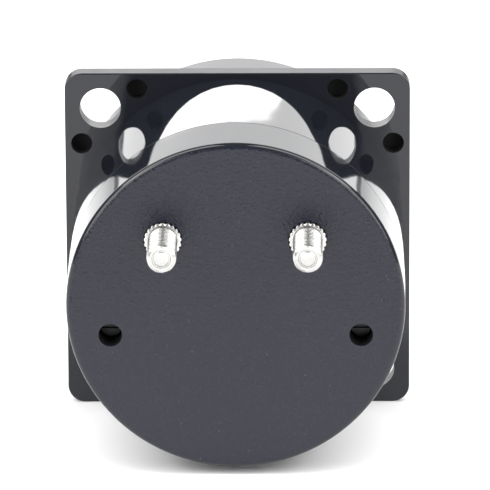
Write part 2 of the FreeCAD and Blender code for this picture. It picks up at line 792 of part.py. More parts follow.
def make_yoke():
    body = new_body("yoke_ring", on_pivot=True)
    sketch = face_sketch(body, frame_rear)
    draw_circle(sketch, 0, 0, yoke_radius)
    draw_circle(sketch, 0, 0, yoke_bore)
    pad(body, sketch, yoke_length)
    hole = m16_radius + thread_play
    cut_discs(body, yoke_screw_places, frame_rear, 3.5, hole)
    cut_discs(body, post_places, frame_rear, 2.6, hole)
    cut_discs(body, post_places, yoke_rear + 4.0, 4.0, hole)
    sketch = side_sketch(body, -yoke_radius)
    draw_circle(sketch, 0, (core_front + core_rear) / 2, hole)
    pocket(body, sketch, yoke_radius * 2)

    screws = new_body("yoke_screws", on_pivot=True)
    for place in yoke_screw_places:
        add_screw(screws, place, frame_front, 1, frame_thickness + 3.0, as_size(1.0), "m16")


def make_core():
    body = new_body("core_magnet", on_pivot=True)
    add_discs(body, [(0, 0)], core_front, core_length, core_radius)
    middle = (core_front + core_rear) / 2
    for low in (-core_radius, core_radius - 2.5):
        sketch = side_sketch(body, low)
        draw_circle(sketch, 0, middle, m16_radius + thread_play)
        pocket(body, sketch, 2.5)

    # Two headless screws across the air gap hold the core in the yoke.
    screws = new_body("core_screws", on_pivot=True)
    inner = core_radius - 2.3
    length = yoke_radius - 0.4 - inner
    for low in (inner, -inner - length):
        sketch = side_sketch(screws, low)
        draw_circle(sketch, 0, middle, m16_radius)
        pad(screws, sketch, length)


def make_bridges():
    pillars = new_body("bridge_pillars", on_pivot=True)
    add_discs(pillars, post_places, front_bridge_rear, front_bridge_rear - frame_front, 1.7)
    add_discs(pillars, post_places, frame_front, frame_thickness + 2.4, m16_radius)
    cut_discs(pillars, post_places, front_bridge_rear, 3.0, m16_radius + thread_play)

    front = new_body("front_bridge", on_pivot=True)
    thickness = front_bridge_front - front_bridge_rear
    sketch = face_sketch(front, front_bridge_front)
    draw_box(sketch, -bridge_post_x, bridge_post_x, -bridge_half_depth, bridge_half_depth)
    pad(front, sketch, thickness)
    add_discs(front, post_places, front_bridge_front, thickness, bridge_half_depth)
    add_discs(front, [(0, 0)], front_bridge_front, thickness, 3.0)
    cut_discs(front, [(0, 0)], front_bridge_front, thickness, jewel_radius)
    cut_discs(front, post_places, front_bridge_front, thickness, m16_radius + thread_play)

    screws = new_body("front_bridge_screws", on_pivot=True)
    for place in post_places:
        add_screw(screws, place, front_bridge_front, 1, thickness + 2.6, as_size(0.9), "m16")

    rear = new_body("rear_bridge", on_pivot=True)
    leg_out = bridge_post_x + 1.7
    leg_in = bridge_post_x - 1.7
    sketch = side_sketch(rear, -bridge_half_depth)
    draw_outline(sketch, [
        (-leg_out, rear_bridge_rear),
        (leg_out, rear_bridge_rear),
        (leg_out, yoke_rear),
        (leg_in, yoke_rear),
        (leg_in, rear_bridge_front),
        (-leg_in, rear_bridge_front),
        (-leg_in, yoke_rear),
        (-leg_out, yoke_rear),
    ])
    pad(rear, sketch, bridge_half_depth * 2)
    height = yoke_rear - rear_bridge_rear
    cut_discs(rear, post_places, yoke_rear, height, m16_radius + thread_play)
    cut_discs(rear, [(0, 0)], rear_bridge_front, 1.5, jewel_radius)

    rear_screws = new_body("rear_bridge_screws", on_pivot=True)
    left_seat = rear_bridge_rear - insulator_thickness * 2 - sheet_metal
    for x, seat in ((bridge_post_x, rear_bridge_rear - sheet_metal), (-bridge_post_x, left_seat)):
        shank = yoke_rear + 3.5 - seat
        add_screw(rear_screws, (x, 0), seat, -1, shank, as_size(1.0), "m16")


def make_jewel_screw(label, inner, head_seat, towards):
    """A slotted bearing screw: inner is its bearing end and towards the way its head points."""
    body = new_body(label, on_pivot=True)
    top = head_seat + towards * 0.5
    turn(body, [
        (jewel_hole, inner),
        (jewel_radius, inner),
        (jewel_radius, head_seat),
        (jewel_radius + 0.8, head_seat),
        (jewel_radius + 0.8, top - towards * 0.15),
        (jewel_radius + 0.65, top),
        (0, top),
        (0, inner + towards * 0.55),
        (jewel_hole, inner + towards * 0.55),
    ])
    depth = as_size(0.3)
    sketch = face_sketch(body, top if towards > 0 else top + depth)
    draw_box(sketch, -3.0, 3.0, -0.25, 0.25)
    pocket(body, sketch, depth)


# ---------------------------------------------------------------- moving coil and pointer

def make_coil():
    former = new_body("coil_former", on_pivot=True, turned=True)
    outside = former_inside + former_thickness
    sketch = side_sketch(former, -former_half_depth)
    draw_box(sketch, -outside, outside, former_rear, former_front)
    draw_box(sketch, -former_inside, former_inside,
             former_rear + former_thickness, former_front - former_thickness)
    pad(former, sketch, former_half_depth * 2)

    winding = new_body("coil_winding", on_pivot=True, turned=True)
    wound = outside + winding_thickness
    half_depth = former_half_depth - 0.15
    sketch = side_sketch(winding, -half_depth)
    draw_box(sketch, -wound, wound, winding_rear, winding_front)
    draw_box(sketch, -outside, outside, former_rear, former_front)
    pad(winding, sketch, half_depth * 2)

    def outer_corner(edge):
        box = edge.BoundBox
        return box.ZLength > half_depth.value and abs(box.XMin) > wound.value - 0.01
    fillet(winding, 0.7, outer_corner)


def make_pivot(label, base, end, towards):
    """A plate cemented to the winding at base, and a spindle whose tip reaches end."""
    body = new_body(label, on_pivot=True, turned=True)
    turn(body, [
        (0, base),
        (1.35, base),
        (1.35, base + towards * 0.3),
        (0.75, base + towards * 0.3),
        (0.75, base + towards * 0.8),
        (spindle_radius, base + towards * 0.8),
        (spindle_radius, end - towards * 0.65),
        (tip_radius, end - towards * 0.5),
        (tip_radius, end - towards * 0.1),
        (tip_radius - 0.1, end),
        (0, end),
    ])


def make_collets():
    body = new_body("spring_collets", on_pivot=True, turned=True)
    for middle in (front_spring, rear_spring):
        sketch = face_sketch(body, middle + 0.2)
        draw_circle(sketch, 0, 0, collet_radius)
        draw_circle(sketch, 0, 0, spindle_radius)
        pad(body, sketch, 0.4)


counterweight_length = as_size(1.4)
tail_weight_start = as_size(5.45)
side_weight_start = as_size(4.7)


def make_pointer():
    body = new_body("pointer", on_pivot=True, turned=True)
    tail = tail_weight_start + counterweight_length + 0.2
    add_plate(body, pointer_front, pointer_thickness, [
        (-0.6, 0),
        (-0.35, pointer_length - 9.0),
        (-0.08, pointer_length),
        (0.08, pointer_length),
        (0.35, pointer_length - 9.0),
        (0.6, 0),
        (0.4, -tail),
        (-0.4, -tail),
    ])
    arm = side_weight_start + counterweight_length + 0.2
    sketch = face_sketch(body, pointer_front)
    draw_box(sketch, -arm, arm, -0.4, 0.4)
    pad(body, sketch, pointer_thickness)
    add_discs(body, [(0, 0)], pointer_front + 0.15, pointer_thickness + 0.4, 1.3)
    cut_discs(body, [(0, 0)], pointer_front + 0.15, pointer_thickness + 0.4, spindle_radius)


def make_counterweights():
    """Three tubes on the pointer's short arms, each along its arm."""
    body = new_body("pointer_counterweights", on_pivot=True, turned=True)
    middle = (pointer_front + pointer_rear) / 2
    sketch = side_sketch(body, -(tail_weight_start + counterweight_length))
    draw_circle(sketch, 0, middle, 0.85)
    draw_circle(sketch, 0, middle, 0.45)
    pad(body, sketch, counterweight_length)
    for low in (side_weight_start, -(side_weight_start + counterweight_length)):
        sketch = sketch_on(body, "YZ_Plane", (0, 0, low))
        draw_circle(sketch, middle, 0, 0.8)
        draw_circle(sketch, middle, 0, 0.45)
        pad(body, sketch, counterweight_length)


def make_hairspring(label, middle):
    """A flat spiral of half circles, from its collet out to its tag below the pivot."""
    thickness = 0.1
    half_turns = 8
    inner = collet_radius.value + thickness / 2
    growth = (spring_radius.value - thickness / 2 - inner) / half_turns
    front = middle.value + spring_height.value / 2

    def side_of_strip(offset):
        arcs = []
        for i in range(half_turns):
            sign = -1 if i % 2 == 0 else 1
            start = sign * (inner + i * growth)
            end = -sign * (inner + (i + 1) * growth)
            centre = (start + end) / 2
            radius = abs(start - end) / 2 + offset
            points = [
                Vector(0, front, centre + sign * radius),
                Vector(-sign * radius, front, centre),
                Vector(0, front, centre - sign * radius),
            ]
            arcs.append(Part.Arc(*points).toShape())
        return arcs

    inside = side_of_strip(-thickness / 2)
    outside = side_of_strip(thickness / 2)
    caps = [
        Part.makeLine(inside[0].Vertexes[0].Point, outside[0].Vertexes[0].Point),
        Part.makeLine(inside[-1].Vertexes[1].Point, outside[-1].Vertexes[1].Point),
    ]
    wire = Part.Wire(Part.__sortEdges__(inside + outside + caps))
    feature = doc.addObject("Part::Feature", label)
    feature.Label = label
    feature.Shape = Part.Face(wire).extrude(Vector(0, -spring_height.value, 0))
    feature.Placement = Placement(Vector(0, 0, pivot_height.value), Rotation())
    pieces.append(feature)


# ---------------------------------------------------------------- zero adjustment

def make_zero_lever():
    body = new_body("zero_lever", on_pivot=True)
    thickness = lever_front - lever_rear
    fork_end = -(adjuster_drop + 0.4)
    slot_top = -(adjuster_drop - adjuster_throw - 1.2)
    half_slot = as_size(0.6)
    add_discs(body, [(0, 0)], lever_front, thickness, 2.8)
    add_plate(body, lever_front, thickness, [
        (-1.1, -1.8),
        (1.1, -1.8),
        (1.1, slot_top + 1.6),
        (half_slot + 0.9, slot_top + 0.6),
        (half_slot + 0.9, fork_end),
        (-half_slot - 0.9, fork_end),
        (-half_slot - 0.9, slot_top + 0.6),
        (-1.1, slot_top + 1.6),
    ])
    sketch = face_sketch(body, lever_front)
    draw_box(sketch, -half_slot, half_slot, fork_end - 0.5, slot_top)
    pocket(body, sketch, thickness)
    cut_discs(body, [(0, 0)], lever_front, thickness, jewel_radius + thread_play)
    tag_rear = front_spring - 0.2
    add_plate(body, lever_front, lever_front - tag_rear, [
        (-0.7, -spring_radius - 0.3),
        (0.7, -spring_radius - 0.3),
        (0.7, -spring_radius),
        (-0.7, -spring_radius),
    ])


def make_zero_adjuster():
    body = new_body("zero_adjuster")
    head_seat = window_front + 0.1
    head_top = head_seat + 0.8
    shank_end = window_rear - 0.8
    turn(body, [
        (0, shank_end),
        (adjuster_radius, shank_end),
        (adjuster_radius, head_seat),
        (adjuster_radius + 0.7, head_seat),
        (adjuster_radius + 0.7, head_top - 0.3),
        (adjuster_radius + 0.4, head_top),
        (0, head_top),
    ], 0, adjuster_height)
    sketch = face_sketch(body, head_top, 0, adjuster_height)
    draw_box(sketch, -4.0, 4.0, -0.4, 0.4)
    pocket(body, sketch, 0.5)
    pin = [(0, adjuster_height + adjuster_throw)]
    add_discs(body, pin, shank_end, shank_end - lever_rear + 0.3, 0.5)

    washer = new_body("adjuster_washer")
    sketch = face_sketch(washer, window_rear - 0.1, 0, adjuster_height)
    draw_circle(sketch, 0, 0, adjuster_radius + 0.9)
    draw_circle(sketch, 0, 0, adjuster_radius)
    pad(washer, sketch, 0.6)


# ---------------------------------------------------------------- build, check, write

make_case_body()
make_rear_cover()
make_bezel_ring()
make_window()
make_cover_screws()
make_stud("positive_stud", stud_x)
make_stud("negative_stud", -stud_x)
make_stud_nuts()
make_lock_washers()
make_shunt()
make_leads()
make_lead_insulators()
make_dial()
make_frame_plate()
make_yoke()
make_core()
make_bridges()
make_jewel_screw("front_jewel_screw", front_bridge_rear - 0.2, lever_front + 0.2, 1)
make_jewel_screw("rear_jewel_screw", rear_bridge_front + 0.6, rear_bridge_rear, -1)
make_coil()
make_pivot("front_pivot", winding_front, front_bridge_rear + 0.2, 1)
make_pivot("rear_pivot", winding_rear, rear_bridge_front + 0.2, -1)
make_collets()
make_pointer()
make_counterweights()
make_hairspring("front_hairspring", front_spring)
make_hairspring("rear_hairspring", rear_spring)
make_zero_lever()
make_zero_adjuster()
doc.recompute()

for item in doc.Objects:
    if "Invalid" in item.State or "Error" in item.State:
        raise RuntimeError(f"{item.Label} did not compute: {item.State}")

os.makedirs("parts", exist_ok=True)
for piece in pieces:
    if piece.Shape.isNull() or not piece.Shape.isValid():
        raise RuntimeError(f"{piece.Label} has no valid shape")
    piece.Shape.exportStep(f"parts/{piece.Label}.step")
    print(f"{piece.Label:24s} {len(piece.Shape.Solids):2d} {piece.Shape.Volume:10.2f}")
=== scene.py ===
import json
import math

import bmesh
import bpy
from mathutils import Matrix, Vector


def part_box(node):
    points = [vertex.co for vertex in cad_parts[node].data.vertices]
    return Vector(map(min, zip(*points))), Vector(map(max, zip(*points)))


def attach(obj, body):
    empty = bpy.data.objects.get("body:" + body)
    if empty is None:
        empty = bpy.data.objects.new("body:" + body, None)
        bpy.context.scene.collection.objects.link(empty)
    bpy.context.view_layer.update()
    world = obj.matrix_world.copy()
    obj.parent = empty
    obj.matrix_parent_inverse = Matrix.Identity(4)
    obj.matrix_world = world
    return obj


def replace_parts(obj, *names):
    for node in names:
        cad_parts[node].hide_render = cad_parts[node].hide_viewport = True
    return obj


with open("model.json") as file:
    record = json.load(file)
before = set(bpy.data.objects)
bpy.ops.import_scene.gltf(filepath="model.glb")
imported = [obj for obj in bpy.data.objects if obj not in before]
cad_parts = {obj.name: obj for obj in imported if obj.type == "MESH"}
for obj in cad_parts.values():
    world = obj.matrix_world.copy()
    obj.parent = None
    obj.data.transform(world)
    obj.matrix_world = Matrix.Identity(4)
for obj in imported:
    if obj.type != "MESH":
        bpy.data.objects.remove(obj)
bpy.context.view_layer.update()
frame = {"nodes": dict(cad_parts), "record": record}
scene = bpy.context.scene
nodes = frame["nodes"]

MM = 0.001

# Sizes that the CAD model also holds, in millimetres. Stations along Y run from the flange's
# front face, at 0, back to the studs' tips.
PIVOT_Z = -8.0
DIAL_FRONT = 1.2
FLANGE_REAR, FLANGE_HALF = -3.6, 30.0
CORNER_HOLE, CORNER_RADIUS = 23.8, 3.55
SEAM, SEAM_INSIDE = -30.4, 28.4
REAR_FACE, FACE_RADIUS = -43.0, 27.3
COVER_INSIDE, STUD_SHOULDER = -40.0, -39.2
STUD_X, STUD_Z = 12.2, 11.8
STUD_TIP, STUD_END = -53.7, -33.2


# ---------------------------------------------------------------- node graphs

class Graph:
    """A material's node tree, with short names for the nodes that are used most."""

    def __init__(self, name):
        self.material = bpy.data.materials.new(name)
        self.material.use_nodes = True
        self.tree = self.material.node_tree
        self.tree.nodes.clear()
        self.out = self.tree.nodes.new("ShaderNodeOutputMaterial")
        self.shader = self.tree.nodes.new("ShaderNodeBsdfPrincipled")
        self.link(self.shader.outputs["BSDF"], self.out.inputs["Surface"])
        self.coords = self.tree.nodes.new("ShaderNodeTexCoord").outputs["Object"]

    def link(self, source, target):
        self.tree.links.new(source, target)

    def put(self, socket, value):
        if isinstance(value, bpy.types.NodeSocket):
            self.link(value, socket)
        else:
            socket.default_value = value

    def set(self, **values):
        """Set or link the shader's sockets: base_color=..., roughness=... and so on."""
        titles = {"ior": "IOR", "coat": "Coat Weight", "transmission": "Transmission Weight"}
        for key, value in values.items():
            title = titles.get(key, key.replace("_", " ").title())
            self.put(self.shader.inputs[title], value)
        return self

    def stretched(self, scale, turn=(0, 0, 0)):
        """Object coordinates scaled along each axis."""
        mapping = self.tree.nodes.new("ShaderNodeMapping")
        self.link(self.coords, mapping.inputs["Vector"])
        mapping.inputs["Scale"].default_value = scale
        mapping.inputs["Rotation"].default_value = turn
        return mapping.outputs["Vector"]

    def noise(self, size_mm, detail=3.0, rough=0.5, vector=None, distortion=0.0):
        """Noise whose lumps are about size_mm across."""
        node = self.tree.nodes.new("ShaderNodeTexNoise")
        self.link(vector or self.coords, node.inputs["Vector"])
        node.inputs["Scale"].default_value = 1.0 / (size_mm * MM)
        node.inputs["Detail"].default_value = detail
        node.inputs["Roughness"].default_value = rough
        node.inputs["Distortion"].default_value = distortion
        return node.outputs["Fac"]

    def cells(self, size_mm, smoothness):
        """Rounded cells about size_mm across."""
        node = self.tree.nodes.new("ShaderNodeTexVoronoi")
        node.feature = "SMOOTH_F1"
        self.link(self.coords, node.inputs["Vector"])
        node.inputs["Scale"].default_value = 1.0 / (size_mm * MM)
        node.inputs["Smoothness"].default_value = smoothness
        return node.outputs["Distance"]

    def span(self, value, low, high, to_low, to_high):
        """Map value from low..high to to_low..to_high, clamped."""
        node = self.tree.nodes.new("ShaderNodeMapRange")
        self.link(value, node.inputs["Value"])
        for title, number in (("From Min", low), ("From Max", high),
                              ("To Min", to_low), ("To Max", to_high)):
            self.put(node.inputs[title], number)
        return node.outputs["Result"]

    def mask(self, length, outside_mm, inside_mm):
        """0 where the length is at or past outside_mm, 1 at or past inside_mm."""
        return self.span(length, outside_mm * MM, inside_mm * MM, 0.0, 1.0)

    def math(self, kind, first, second=0.0):
        node = self.tree.nodes.new("ShaderNodeMath")
        node.operation = kind
        self.put(node.inputs[0], first)
        self.put(node.inputs[1], second)
        return node.outputs["Value"]

    def mix(self, factor, first, second):
        """Mix two colours, each given as three numbers or a socket."""
        node = self.tree.nodes.new("ShaderNodeMix")
        node.data_type = "RGBA"
        self.put(node.inputs[0], factor)
        for socket, colour in ((node.inputs[6], first), (node.inputs[7], second)):
            self.put(socket, (*colour, 1.0) if isinstance(colour, tuple) else colour)
        return node.outputs[2]

    def bump(self, height, depth_mm, strength=1.0, base=None):
        node = self.tree.nodes.new("ShaderNodeBump")
        node.inputs["Distance"].default_value = depth_mm * MM
        self.put(node.inputs["Strength"], strength)
        self.link(height, node.inputs["Height"])
        if base is not None:
            self.link(base, node.inputs["Normal"])
        return node.outputs["Normal"]

    def along(self, axis):
        """One object coordinate, in metres."""
        node = self.tree.nodes.new("ShaderNodeSeparateXYZ")
        self.link(self.coords, node.inputs["Vector"])
        return node.outputs[axis]

    def away(self, x, z):
        """The distance whose parts along X and Z are given."""
        return self.math("SQRT", self.math("ADD", self.math("POWER", x, 2.0),
                                           self.math("POWER", z, 2.0)))

    def from_axis(self):
        """The distance from the barrel's axis."""
        return self.away(self.along("X"), self.along("Z"))

    def in_seam(self):
        """1 in the groove where the barrel meets the cover, 0 elsewhere."""
        off = self.math("ABSOLUTE", self.math("SUBTRACT", self.along("Y"), SEAM * MM))
        return self.math("MULTIPLY", self.mask(off, 0.13, 0.09),
                         self.mask(self.from_axis(), SEAM_INSIDE, SEAM_INSIDE + 0.1))


# ---------------------------------------------------------------- materials

# Painted shade: a black darker than the moulding's own, laid inside holes and recesses where
# little light reaches.
HOLE_SHADE = (0.003, 0.003, 0.0035)
SEAM_ROUGHNESS = 0.9


def flow_marks(g):
    """The faint cloudy pattern that the compound leaves as it fills the mould."""
    return g.noise(14.0, 4.0, 0.55, distortion=0.6)


def polish(g, flow, rough, dustiest):
    """Roughness of a polished face: the flow marks' own, and specks of dust on it."""
    dust = g.noise(0.5, 2.0)
    return g.math("ADD", g.span(flow, 0.35, 0.7, *rough), g.span(dust, 0.62, 0.8, 0.0, dustiest))


def waviness(g, wave_strength, fine_strength):
    """The normal of a polished face, which is never quite flat."""
    wave = g.bump(g.noise(9.0, 1.0), 0.015, wave_strength)
    return g.bump(g.noise(0.9, 2.0), 0.003, fine_strength, wave)


def gloss_moulding(name, colour, other, rough):
    """Polished black phenolic: a faint flow pattern, slight waviness, a few dull patches."""
    g = Graph(name)
    flow = flow_marks(g)
    g.set(base_color=g.mix(flow, colour, other), roughness=polish(g, flow, rough, 0.05), ior=1.5,
          normal=waviness(g, 0.3, 0.25))
    return g.material


def case_moulding(name, colour, other):
    """The case: a polished barrel, a satin flange edge, dull walls inside the holes, and painted
    shade darkening the holes and the flange's front.
    """
    g = Graph(name)
    flow = flow_marks(g)
    # 1 in front of the flange's rear face: the flange's edges, its holes and the front.
    edge = g.mask(g.along("Y"), FLANGE_REAR + 0.05, FLANGE_REAR + 0.25)
    x, z = (g.math("ABSOLUTE", g.along(axis)) for axis in "XZ")
    inside = g.math("MULTIPLY", edge, g.mask(g.math("MAXIMUM", x, z),
                                             FLANGE_HALF - 0.5, FLANGE_HALF - 0.7))
    # The corner holes' walls are smoother than the small blind holes'.
    off_x, off_z = (g.math("SUBTRACT", length, CORNER_HOLE * MM) for length in (x, z))
    corner = g.mask(g.away(off_x, off_z), CORNER_RADIUS + 0.4, CORNER_RADIUS + 0.2)
    wall = g.span(corner, 0.0, 1.0, 0.8, 0.42)
    satin = g.span(flow, 0.35, 0.7, 0.42, 0.48)
    dull = g.span(edge, 0.0, 1.0, polish(g, flow, (0.03, 0.055), 0.03), satin)
    dull = g.span(inside, 0.0, 1.0, dull, wall)
    dull = g.span(g.in_seam(), 0.0, 1.0, dull, SEAM_ROUGHNESS)
    # Painted shade: the holes' walls and the flange's front take the darker black.
    tone = g.mix(inside, g.mix(flow, colour, other), HOLE_SHADE)
    g.set(base_color=tone, roughness=dull, ior=1.5, normal=waviness(g, 0.08, 0.1))
    return g.material


def grained_moulding(name):
    """Black moulding: a fine leather grain on the rear face and a polished rim around it."""
    g = Graph(name)
    across, station = g.from_axis(), g.along("Y")
    # The grain covers the flat face; the rounded edge and the rim are polished.
    flat = g.mask(station, REAR_FACE + 0.2, REAR_FACE + 0.05)
    rim = g.math("MULTIPLY", g.mask(across, FACE_RADIUS, FACE_RADIUS + 0.3),
                 g.mask(station, REAR_FACE + 0.03, REAR_FACE + 0.15))
    hole = g.math("MULTIPLY", g.mask(across, FACE_RADIUS, FACE_RADIUS - 0.3),
                  g.mask(station, REAR_FACE + 0.4, REAR_FACE + 1.0))
    pebbles = g.cells(0.5, 0.5)
    creases = g.noise(0.36, 3.0, 0.6, distortion=0.6)
    # Handling has worn the grain a little smoother towards the bottom.
    kept = g.span(g.along("Z"), -24.0 * MM, 8.0 * MM, 0.35, 1.0)
    relief = g.math("ADD", g.math("MULTIPLY", pebbles, 0.55),
                    g.math("MULTIPLY", creases, 0.9))
    normal = g.bump(relief, 0.08, g.math("MULTIPLY", flat, kept))
    cloud = g.noise(22.0, 3.0)
    tone = g.mix(cloud, (0.004, 0.0043, 0.0125), (0.006, 0.0063, 0.0155))
    # Painted highlight: the grain's raised creases take a lighter tone, on the crests only.
    tone = g.mix(g.span(creases, 0.5, 0.7, 0.0, 0.6), tone, (0.016, 0.016, 0.024))
    tone = g.mix(g.span(g.noise(0.7, 2.0), 0.74, 0.8, 0.0, 0.5), tone, (0.1, 0.1, 0.11))
    tone = g.mix(rim, tone, (0.0075, 0.0085, 0.0125))
    # Painted shade: the insides of the holes sunk in the rear face take a black darker than the
    # face's.
    tone = g.mix(hole, tone, HOLE_SHADE)
    rough = g.math("ADD", g.span(cloud, 0.3, 0.7, 0.2, 0.23),
                   g.span(creases, 0.4, 0.7, -0.03, 0.06))
    rough = g.span(rim, 0.0, 1.0, rough, g.span(cloud, 0.3, 0.7, 0.035, 0.06))
    rough = g.span(hole, 0.0, 1.0, rough, 0.8)
    rough = g.span(g.in_seam(), 0.0, 1.0, rough, SEAM_ROUGHNESS)
    g.set(base_color=tone, roughness=rough, ior=1.46, normal=normal)
    return g.material


def metal(name, colour, other, rough, grain_mm=0.4, stretch=(1, 1, 1), depth_mm=0.004,
          tarnish=None):
    """Worked metal: fine marks along one direction, patches of tone, a little tarnish."""
    g = Graph(name)
    marks = g.noise(grain_mm, 3.0, 0.6, vector=g.stretched(stretch))
    patches = g.noise(3.5, 3.0)
    tone = g.mix(g.span(patches, 0.3, 0.7, 0.0, 1.0), colour, other)
    if tarnish:
        tone = g.mix(g.span(g.noise(1.8, 4.0), 0.55, 0.75, 0.0, 0.4), tone, tarnish)
    dull = g.math("ADD", g.span(marks, 0.3, 0.7, *rough),
                  g.span(patches, 0.4, 0.8, 0.0, 0.04))
    g.set(base_color=tone, metallic=1.0, roughness=dull, normal=g.bump(marks, depth_mm, 0.4))
    return g.material


def painted(name, colour, other, rough, grain_mm, depth_mm):
    """Paint or plain moulding: slight mottling and a fine orange-peel surface."""
    g = Graph(name)
    peel = g.noise(grain_mm, 3.0, 0.55)
    mottle = g.noise(6.0, 3.0)
    g.set(base_color=g.mix(g.span(mottle, 0.3, 0.7, 0.0, 1.0), colour, other),
          roughness=g.span(peel, 0.3, 0.7, *rough), normal=g.bump(peel, depth_mm, 0.4))
    return g.material


def clear_window(name):
    """Clear moulded acrylic, very slightly wavy, with hairline marks in its gloss."""
    g = Graph(name)
    wave = g.noise(12.0, 1.0)
    hair = g.noise(0.5, 4.0, 0.7, vector=g.stretched((1, 1, 12), (0, 0.5, 0)))
    g.set(base_color=g.mix(wave, (0.985, 0.99, 0.99), (0.97, 0.985, 0.985)),
          roughness=g.span(hair, 0.6, 0.8, 0.0, 0.05), ior=1.49, transmission=1.0,
          normal=g.bump(wave, 0.02, 0.2))
    return g.material


WIRE_PITCH = 0.13


def enamelled_winding(name):
    """Fine enamelled wire, laid in turns side by side across the coil's width."""
    g = Graph(name)
    wave = g.tree.nodes.new("ShaderNodeTexWave")
    wave.bands_direction = "Y"
    g.link(g.coords, wave.inputs["Vector"])
    wave.inputs["Scale"].default_value = 2.0 / (WIRE_PITCH * MM * math.tau)
    wave.inputs["Distortion"].default_value = 1.2
    turns = wave.outputs["Fac"]
    patches = g.noise(2.0, 3.0)
    # The tone follows the turns' bump: painted shade in the grooves between turns and a painted
    # highlight on their crests.
    tone = g.mix(turns, (0.16, 0.035, 0.012), (0.5, 0.17, 0.06))
    tone = g.mix(g.span(patches, 0.35, 0.7, 0.0, 0.5), tone, (0.4, 0.11, 0.04))
    g.set(base_color=tone, metallic=0.85, roughness=g.span(patches, 0.3, 0.7, 0.24, 0.36),
          coat=0.5, normal=g.bump(turns, 0.02, 0.7))
    return g.material


def turned_metal(name, colour, other, rough):
    """Plated turned metal with faint rings from the lathe, across the barrel's axis."""
    g = Graph(name)
    rings = g.noise(0.12, 2.0, vector=g.stretched((0.15, 1.0, 0.15)))
    patches = g.noise(1.6, 3.0)
    g.set(base_color=g.mix(g.span(patches, 0.3, 0.7, 0.0, 1.0), colour, other), metallic=1.0,
          roughness=g.span(g.math("ADD", rings, patches), 0.7, 1.3, *rough),
          normal=g.bump(rings, 0.003, 0.35))
    return g.material


def paper(name):
    """Pale studio floor, matt, with the very slight tooth of paper."""
    g = Graph(name)
    tooth = g.noise(1.5, 3.0)
    cloud = g.noise(160.0, 2.0)
    g.set(base_color=g.mix(cloud, (0.93, 0.93, 0.935), (0.955, 0.955, 0.958)),
          roughness=g.span(tooth, 0.3, 0.7, 0.75, 0.9), normal=g.bump(tooth, 0.03, 0.2))
    return g.material


black = ((0.0075, 0.0085, 0.0125), (0.0105, 0.0115, 0.016))
brass = ((0.46, 0.30, 0.12), (0.53, 0.36, 0.155))
finishes = {
    "gloss_black_moulding": case_moulding("gloss_black_moulding", *black),
    "grained_black_moulding": grained_moulding("grained_black_moulding"),
    "black_bezel": gloss_moulding("black_bezel", *black, rough=(0.1, 0.16)),
    "clear_window": clear_window("clear_window"),
    "black_rubber": painted("black_rubber", (0.012, 0.012, 0.012), (0.02, 0.02, 0.02),
                            (0.6, 0.75), 0.2, 0.02),
    "nickel_plate": turned_metal("nickel_plate", (0.56, 0.555, 0.54), (0.47, 0.465, 0.45),
                                 (0.2, 0.3)),
    "plated_steel": metal("plated_steel", (0.62, 0.63, 0.64), (0.52, 0.52, 0.53), (0.22, 0.34),
                          tarnish=(0.36, 0.33, 0.26)),
    "dial_white": painted("dial_white", (0.86, 0.86, 0.83), (0.82, 0.82, 0.79), (0.45, 0.6),
                          0.15, 0.006),
    "black_screws": metal("black_screws", (0.035, 0.035, 0.038), (0.06, 0.06, 0.062),
                          (0.3, 0.42)),
    "pointer_black": painted("pointer_black", (0.008, 0.008, 0.009), (0.014, 0.014, 0.015),
                             (0.4, 0.5), 0.1, 0.003),
    "yellow_brass": metal("yellow_brass", *brass, (0.28, 0.34), 0.3, (0.12, 1, 1), 0.002,
                          tarnish=(0.34, 0.22, 0.1)),
    "manganin": metal("manganin", (0.42, 0.27, 0.19), (0.5, 0.34, 0.25), (0.3, 0.45), 0.5,
                      (0.2, 1, 1), tarnish=(0.2, 0.12, 0.08)),
    "copper": metal("copper", (0.72, 0.33, 0.19), (0.62, 0.27, 0.15), (0.25, 0.38), 0.4,
                    tarnish=(0.3, 0.12, 0.07)),
    "enamelled_copper": enamelled_winding("enamelled_copper"),
    "fibre": painted("fibre", (0.24, 0.055, 0.03), (0.3, 0.08, 0.042), (0.55, 0.7), 0.15, 0.02),
    "frame_aluminium": metal("frame_aluminium", (0.76, 0.77, 0.78), (0.68, 0.69, 0.7),
                             (0.28, 0.4), 0.5, (0.12, 1, 1), 0.006),
    "soft_iron": metal("soft_iron", (0.42, 0.42, 0.43), (0.34, 0.34, 0.34), (0.3, 0.45),
                       tarnish=(0.2, 0.15, 0.1)),
    "magnet": metal("magnet", (0.2, 0.2, 0.21), (0.15, 0.15, 0.155), (0.35, 0.5), 0.3,
                    depth_mm=0.01),
    "pivot_steel": metal("pivot_steel", (0.6, 0.6, 0.61), (0.54, 0.54, 0.55), (0.1, 0.18), 0.2),
    "spring_bronze": metal("spring_bronze", (0.6, 0.38, 0.17), (0.52, 0.31, 0.13),
                           (0.18, 0.28), 0.2),
    "adjuster_black": gloss_moulding("adjuster_black", *black, rough=(0.14, 0.22)),
}

for subpart in frame["record"]["subparts"]:
    node = nodes[subpart["node"]]
    node.data.materials.clear()
    node.data.materials.append(finishes[subpart["material_slot"]])


# ---------------------------------------------------------------- pieces from mesh code

def new_piece(name, mesh, body, slot_name):
    """A visible piece that rides on a body, with the finish of its slot."""
    piece = bpy.data.objects.new(name, mesh)
    scene.collection.objects.link(piece)
    mesh.materials.append(finishes[slot_name])
    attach(piece, body)
    return piece


SAME_POINT = 2e-7
SHARP_ANGLE = math.radians(28)


def mesh_of(name, vertices, faces, smooth=True):
    """A mesh from points in millimetres, welded, with its sharp edges kept sharp."""
    mesh = bpy.data.meshes.new(name)
    mesh.from_pydata([Vector(v) * MM for v in vertices], [], faces)
    work = bmesh.new()
    work.from_mesh(mesh)
    bmesh.ops.remove_doubles(work, verts=work.verts, dist=SAME_POINT)
    bmesh.ops.recalc_face_normals(work, faces=work.faces)
    work.to_mesh(mesh)
    work.free()
    for polygon in mesh.polygons:
        polygon.use_smooth = smooth
    mesh.set_sharp_from_angle(angle=SHARP_ANGLE)
    return mesh


